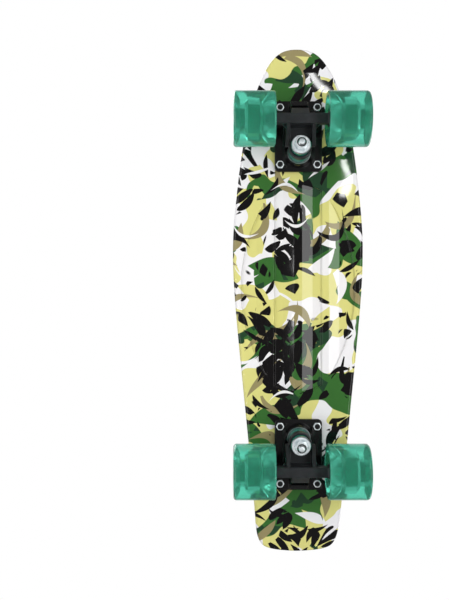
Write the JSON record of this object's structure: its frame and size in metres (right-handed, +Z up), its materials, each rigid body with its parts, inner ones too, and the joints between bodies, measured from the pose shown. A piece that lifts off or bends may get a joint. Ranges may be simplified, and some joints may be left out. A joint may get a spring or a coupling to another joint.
{
  "type": "skateboard",
  "caption": "Small moulded plastic cruiser skateboard with a kicktail, a camouflage print, sprung steering trucks and freely rolling translucent wheels.",
  "frame": {"origin": "on the floor under the middle of the deck's length and width", "axes": "+Z up, -Y towards the nose, +Y towards the tail, X along the axles with the rider's left at +X"},
  "size_m": [0.146, 0.572, 0.1041],
  "materials": {
    "deck_plastic": "glossy moulded plastic with a printed camouflage film",
    "truck_paint": "cast aluminium with semi-gloss black paint",
    "zinc_steel": "zinc plated",
    "black_steel": "black oxide",
    "nylon": "satin",
    "bushing_urethane": "satin urethane",
    "cup_rubber": "matte",
    "wheel_urethane": "translucent cast urethane",
    "wheel_core_plastic": "milky translucent plastic",
    "bearing_steel": "polished",
    "cage_plastic": "satin",
    "shield": "matte"
  },
  "bodies": {
    "board": {"deck": "deck_plastic", "deck_bolts": "black_steel", "deck_nuts": "zinc_steel", "deck_nut_rings": "nylon", "front_baseplate": "truck_paint", "front_pivot_cup": "cup_rubber", "front_kingpin": "zinc_steel", "front_boardside_washer": "zinc_steel", "front_boardside_bushing": "bushing_urethane", "front_roadside_bushing": "bushing_urethane", "front_roadside_washer": "zinc_steel", "front_kingpin_nut": "zinc_steel", "front_kingpin_nut_ring": "nylon", "rear_baseplate": "truck_paint", "rear_pivot_cup": "cup_rubber", "rear_kingpin": "zinc_steel", "rear_boardside_washer": "zinc_steel", "rear_boardside_bushing": "bushing_urethane", "rear_roadside_bushing": "bushing_urethane", "rear_roadside_washer": "zinc_steel", "rear_kingpin_nut": "zinc_steel", "rear_kingpin_nut_ring": "nylon"},
    "front_truck": {"front_hanger": "truck_paint", "front_axle": "zinc_steel", "front_axle_washers": "zinc_steel", "front_axle_nuts": "zinc_steel", "front_axle_nut_rings": "nylon", "front_bearing_inner_rings": "bearing_steel", "front_bearing_spacers": "zinc_steel"},
    "front_left_wheel": {"front_left_wheel": "wheel_urethane", "front_left_wheel_core": "wheel_core_plastic", "front_left_bearing_outer_rings": "bearing_steel", "front_left_bearing_shields": "shield"},
    "front_left_cages": {"front_left_bearing_balls": "bearing_steel", "front_left_bearing_cages": "cage_plastic"},
    "front_right_wheel": {"front_right_wheel": "wheel_urethane", "front_right_wheel_core": "wheel_core_plastic", "front_right_bearing_outer_rings": "bearing_steel", "front_right_bearing_shields": "shield"},
    "front_right_cages": {"front_right_bearing_balls": "bearing_steel", "front_right_bearing_cages": "cage_plastic"},
    "rear_truck": {"rear_hanger": "truck_paint", "rear_axle": "zinc_steel", "rear_axle_washers": "zinc_steel", "rear_axle_nuts": "zinc_steel", "rear_axle_nut_rings": "nylon", "rear_bearing_inner_rings": "bearing_steel", "rear_bearing_spacers": "zinc_steel"},
    "rear_left_wheel": {"rear_left_wheel": "wheel_urethane", "rear_left_wheel_core": "wheel_core_plastic", "rear_left_bearing_outer_rings": "bearing_steel", "rear_left_bearing_shields": "shield"},
    "rear_left_cages": {"rear_left_bearing_balls": "bearing_steel", "rear_left_bearing_cages": "cage_plastic"},
    "rear_right_wheel": {"rear_right_wheel": "wheel_urethane", "rear_right_wheel_core": "wheel_core_plastic", "rear_right_bearing_outer_rings": "bearing_steel", "rear_right_bearing_shields": "shield"},
    "rear_right_cages": {"rear_right_bearing_balls": "bearing_steel", "rear_right_bearing_cages": "cage_plastic"}
  },
  "joints": [
    {"name": "front_steer", "type": "hinge", "parent": "board", "child": "front_truck", "pos_m": [0, -0.2125, 0.0645], "axis": [0, 0.9234, -0.3839], "range_deg": [-9, 9], "stiffness_Nm_per_rad": 40, "deforming": ["front_boardside_bushing", "front_roadside_bushing"]},
    {"name": "front_left_spin", "type": "hinge", "parent": "front_truck", "child": "front_left_wheel", "pos_m": [0.054, -0.196, 0.03], "axis": [1, 0, 0], "continuous": true},
    {"name": "front_left_cage_spin", "type": "hinge", "parent": "front_truck", "child": "front_left_cages", "pos_m": [0.054, -0.196, 0.03], "axis": [1, 0, 0], "continuous": true},
    {"name": "front_right_spin", "type": "hinge", "parent": "front_truck", "child": "front_right_wheel", "pos_m": [-0.054, -0.196, 0.03], "axis": [1, 0, 0], "continuous": true},
    {"name": "front_right_cage_spin", "type": "hinge", "parent": "front_truck", "child": "front_right_cages", "pos_m": [-0.054, -0.196, 0.03], "axis": [1, 0, 0], "continuous": true},
    {"name": "rear_steer", "type": "hinge", "parent": "board", "child": "rear_truck", "pos_m": [0, 0.1995, 0.0645], "axis": [0, -0.9234, -0.3839], "range_deg": [-9, 9], "stiffness_Nm_per_rad": 40, "deforming": ["rear_boardside_bushing", "rear_roadside_bushing"]},
    {"name": "rear_left_spin", "type": "hinge", "parent": "rear_truck", "child": "rear_left_wheel", "pos_m": [0.054, 0.183, 0.03], "axis": [1, 0, 0], "continuous": true},
    {"name": "rear_left_cage_spin", "type": "hinge", "parent": "rear_truck", "child": "rear_left_cages", "pos_m": [0.054, 0.183, 0.03], "axis": [1, 0, 0], "continuous": true},
    {"name": "rear_right_spin", "type": "hinge", "parent": "rear_truck", "child": "rear_right_wheel", "pos_m": [-0.054, 0.183, 0.03], "axis": [1, 0, 0], "continuous": true},
    {"name": "rear_right_cage_spin", "type": "hinge", "parent": "rear_truck", "child": "rear_right_cages", "pos_m": [-0.054, 0.183, 0.03], "axis": [1, 0, 0], "continuous": true}
  ],
  "couplings": [
    {"joint": "front_left_cage_spin", "follows": "front_left_spin", "ratio": 0.63},
    {"joint": "front_right_cage_spin", "follows": "front_right_spin", "ratio": 0.63},
    {"joint": "rear_left_cage_spin", "follows": "rear_left_spin", "ratio": 0.63},
    {"joint": "rear_right_cage_spin", "follows": "rear_right_spin", "ratio": 0.63}
  ]
}
